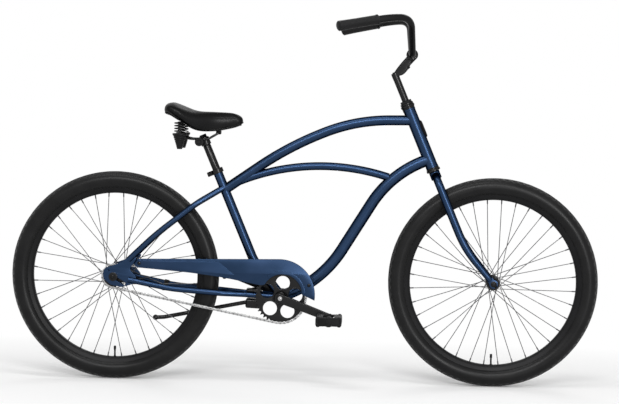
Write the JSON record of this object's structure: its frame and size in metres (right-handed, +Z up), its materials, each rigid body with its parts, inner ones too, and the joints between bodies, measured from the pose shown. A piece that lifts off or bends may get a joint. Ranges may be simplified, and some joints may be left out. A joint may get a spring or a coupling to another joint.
{
  "type": "beach cruiser bicycle",
  "caption": "Single-speed beach cruiser with an arched twin-tube frame, wide balloon tyres, swept-back riser bars, sprung saddle, chain guard, coaster brake and kickstand.",
  "frame": {"origin": "on the ground, midway between the two axles", "axes": "+X forward, +Y to the rider's left, +Z up; the drive side is -Y"},
  "size_m": [1.878, 0.6906, 1.1771],
  "materials": {
    "frame_paint": "satin metallic dark blue",
    "badge_metal": "brushed, bare",
    "black_metal": "satin black",
    "black_rim": "black anodised",
    "steel": "plated",
    "chain_steel": "oiled",
    "tyre_rubber": "matte",
    "grip_rubber": "matte",
    "saddle_vinyl": "soft sheen",
    "black_plastic": "matte"
  },
  "bodies": {
    "frame": {"head_tube": "frame_paint", "top_tube": "frame_paint", "mid_tube": "frame_paint", "down_tube": "frame_paint", "seat_tube": "frame_paint", "right_chain_stay": "frame_paint", "left_chain_stay": "frame_paint", "right_seat_stay": "frame_paint", "left_seat_stay": "frame_paint", "right_dropout": "frame_paint", "left_dropout": "frame_paint", "head_badge": "badge_metal", "seat_collar": "black_metal", "chain_guard": "frame_paint", "guard_brackets": "black_metal", "kickstand_mount": "black_metal", "rear_axle": "steel", "brake_arm": "black_metal", "brake_arm_clip": "black_metal", "chain": "chain_steel"},
    "fork": {"fork_steerer": "frame_paint", "right_fork_blade": "frame_paint", "left_fork_blade": "frame_paint", "headset_locknut": "black_metal", "front_axle": "steel"},
    "stem": {"stem": "black_metal", "stem_bolts": "black_metal"},
    "handlebar": {"handlebar": "black_metal", "right_grip": "grip_rubber", "left_grip": "grip_rubber"},
    "seat_post": {"seat_post": "black_metal", "saddle_clamp": "black_metal"},
    "saddle_carrier": {"saddle_clamp_discs": "black_metal", "saddle_rails": "black_metal", "spring_cups": "black_plastic", "saddle_springs": "black_metal"},
    "saddle": {"saddle_base": "black_plastic", "saddle_cushion": "saddle_vinyl"},
    "front_wheel": {"front_tyre": "tyre_rubber", "front_rim": "black_rim", "front_spokes": "steel", "front_hub": "black_metal", "front_valve": "black_plastic"},
    "rear_wheel": {"rear_tyre": "tyre_rubber", "rear_rim": "black_rim", "rear_spokes": "steel", "rear_hub": "black_metal", "rear_valve": "black_plastic"},
    "sprocket": {"rear_sprocket": "steel"},
    "crank": {"crank_spindle": "black_metal", "chainring": "black_metal", "right_crank_arm": "black_metal", "left_crank_arm": "black_metal"},
    "right_pedal": {"right_pedal": "black_plastic"},
    "left_pedal": {"left_pedal": "black_plastic"},
    "kickstand": {"kickstand": "black_metal"}
  },
  "joints": [
    {"name": "steering", "type": "hinge", "parent": "frame", "child": "fork", "pos_m": [0.56634, 0, 0.31759], "axis": [-0.3907, 0, 0.9205], "continuous": true},
    {"name": "stem_height", "type": "slide", "parent": "fork", "child": "stem", "axis": [-0.3907, 0, 0.9205], "range_m": [-0.04, 0.02]},
    {"name": "bar_tilt", "type": "hinge", "parent": "stem", "child": "handlebar", "pos_m": [0.33387, 0, 1.05465], "axis": [0, 1, 0], "range_deg": [-20, 20]},
    {"name": "seat_height", "type": "slide", "parent": "frame", "child": "seat_post", "axis": [-0.3907, 0, 0.9205], "range_m": [-0.045, 0.08]},
    {"name": "saddle_tilt", "type": "hinge", "parent": "seat_post", "child": "saddle_carrier", "pos_m": [-0.33787, 0, 0.76755], "axis": [0, 1, 0], "range_deg": [-6, 6]},
    {"name": "saddle_bounce", "type": "hinge", "parent": "saddle_carrier", "child": "saddle", "pos_m": [-0.2782, 0, 0.79592], "axis": [0, -1, 0], "range_deg": [0, 4], "stiffness_Nm_per_rad": 60, "springref_deg": -2.86, "deforming": ["saddle_springs"]},
    {"name": "front_wheel_spin", "type": "hinge", "parent": "fork", "child": "front_wheel", "pos_m": [0.605, 0, 0.334], "axis": [0, 1, 0], "continuous": true},
    {"name": "rear_wheel_spin", "type": "hinge", "parent": "frame", "child": "rear_wheel", "pos_m": [-0.605, 0, 0.334], "axis": [0, 1, 0], "continuous": true},
    {"name": "crank_spin", "type": "hinge", "parent": "frame", "child": "crank", "pos_m": [-0.07022, 0, 0.276], "axis": [0, 1, 0], "continuous": true, "deforming": ["chain"]},
    {"name": "sprocket_spin", "type": "hinge", "parent": "frame", "child": "sprocket", "pos_m": [-0.605, 0, 0.334], "axis": [0, 1, 0], "continuous": true, "deforming": ["chain"]},
    {"name": "right_pedal_spin", "type": "hinge", "parent": "crank", "child": "right_pedal", "pos_m": [0.08714, 0, 0.21716], "axis": [0, 1, 0], "continuous": true},
    {"name": "left_pedal_spin", "type": "hinge", "parent": "crank", "child": "left_pedal", "pos_m": [-0.22759, 0, 0.33483], "axis": [0, 1, 0], "continuous": true},
    {"name": "kickstand_fold", "type": "hinge", "parent": "frame", "child": "kickstand", "pos_m": [-0.15977, 0.034, 0.25159], "axis": [0, -0.9703, -0.2419], "range_deg": [0, 80]}
  ],
  "couplings": [
    {"joint": "sprocket_spin", "follows": "crank_spin", "ratio": 2.2222}
  ]
}
